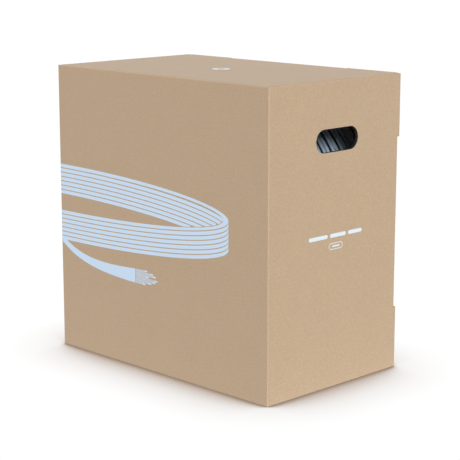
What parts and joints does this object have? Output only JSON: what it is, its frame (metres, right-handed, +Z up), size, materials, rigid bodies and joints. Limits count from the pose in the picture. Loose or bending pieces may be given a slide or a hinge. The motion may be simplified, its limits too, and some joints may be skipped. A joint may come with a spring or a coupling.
{
  "type": "cable spool box",
  "caption": "Corrugated carton that holds a reel of network cable turning on a fixed axle, with hand holes in its side walls, a hinged top panel and a payout hole.",
  "frame": {"origin": "on the floor, under the middle of the closed carton", "axes": "+Z up; the large printed front panel faces -Y; the closing tabs are at +Y; the walls with the hand holes face +X and -X; the reel turns about Y"},
  "size_m": [0.405, 0.25, 0.4],
  "materials": {
    "kraft_board": "matt kraft liner",
    "double_wall_board": "matt kraft liner",
    "paper_tube": "spiral wound, matt",
    "flange_fibreboard": "smooth pressed fibreboard",
    "white_plastic": "moulded, satin",
    "zinc_steel": "zinc plated",
    "cable_jacket": "smooth extruded jacket"
  },
  "bodies": {
    "carton": {"axle_cap_front": "white_plastic", "axle_cap_rear": "white_plastic", "axle_pad_front": "double_wall_board", "axle_pad_rear": "double_wall_board", "axle_tube": "paper_tube", "base_pad": "kraft_board", "bottom_tab_left": "kraft_board", "bottom_tab_right": "kraft_board", "carton_bottom_panel": "kraft_board", "carton_front_panel": "kraft_board", "carton_left_wall": "kraft_board", "carton_rear_panel": "kraft_board", "carton_right_wall": "kraft_board", "glue_flap_bottom": "kraft_board", "glue_flap_left": "kraft_board", "glue_flap_right": "kraft_board", "left_wall_tab_lower": "kraft_board", "left_wall_tab_upper": "kraft_board", "payout_grommet": "white_plastic", "right_wall_tab_lower": "kraft_board", "right_wall_tab_upper": "kraft_board"},
    "lid": {"carton_lid": "kraft_board"},
    "lid_tab_left": {"lid_tab_left": "kraft_board"},
    "lid_tab_right": {"lid_tab_right": "kraft_board"},
    "reel": {"cable_winding": "cable_jacket", "reel_barrel": "paper_tube", "reel_bush_front": "white_plastic", "reel_bush_rear": "white_plastic", "reel_flange_front": "flange_fibreboard", "reel_flange_rear": "flange_fibreboard", "tie_bolt_1": "zinc_steel", "tie_bolt_2": "zinc_steel", "tie_bolt_3": "zinc_steel", "tie_bolt_4": "zinc_steel", "tie_nut_1": "zinc_steel", "tie_nut_2": "zinc_steel", "tie_nut_3": "zinc_steel", "tie_nut_4": "zinc_steel", "tie_washer_1": "zinc_steel", "tie_washer_2": "zinc_steel", "tie_washer_3": "zinc_steel", "tie_washer_4": "zinc_steel"}
  },
  "joints": [
    {"name": "reel_spin", "type": "hinge", "parent": "carton", "child": "reel", "pos_m": [0, 0, 0.2], "axis": [0, 1, 0], "continuous": true},
    {"name": "lid_hinge", "type": "hinge", "parent": "carton", "child": "lid", "pos_m": [0, -0.125, 0.4], "axis": [1, 0, 0], "range_deg": [0, 180]},
    {"name": "lid_tab_left_fold", "type": "hinge", "parent": "lid", "child": "lid_tab_left", "pos_m": [-0.15295, 0.125, 0.4], "axis": [1, 0, 0], "range_deg": [0, 90]},
    {"name": "lid_tab_right_fold", "type": "hinge", "parent": "lid", "child": "lid_tab_right", "pos_m": [0.15295, 0.125, 0.4], "axis": [1, 0, 0], "range_deg": [0, 90]}
  ]
}
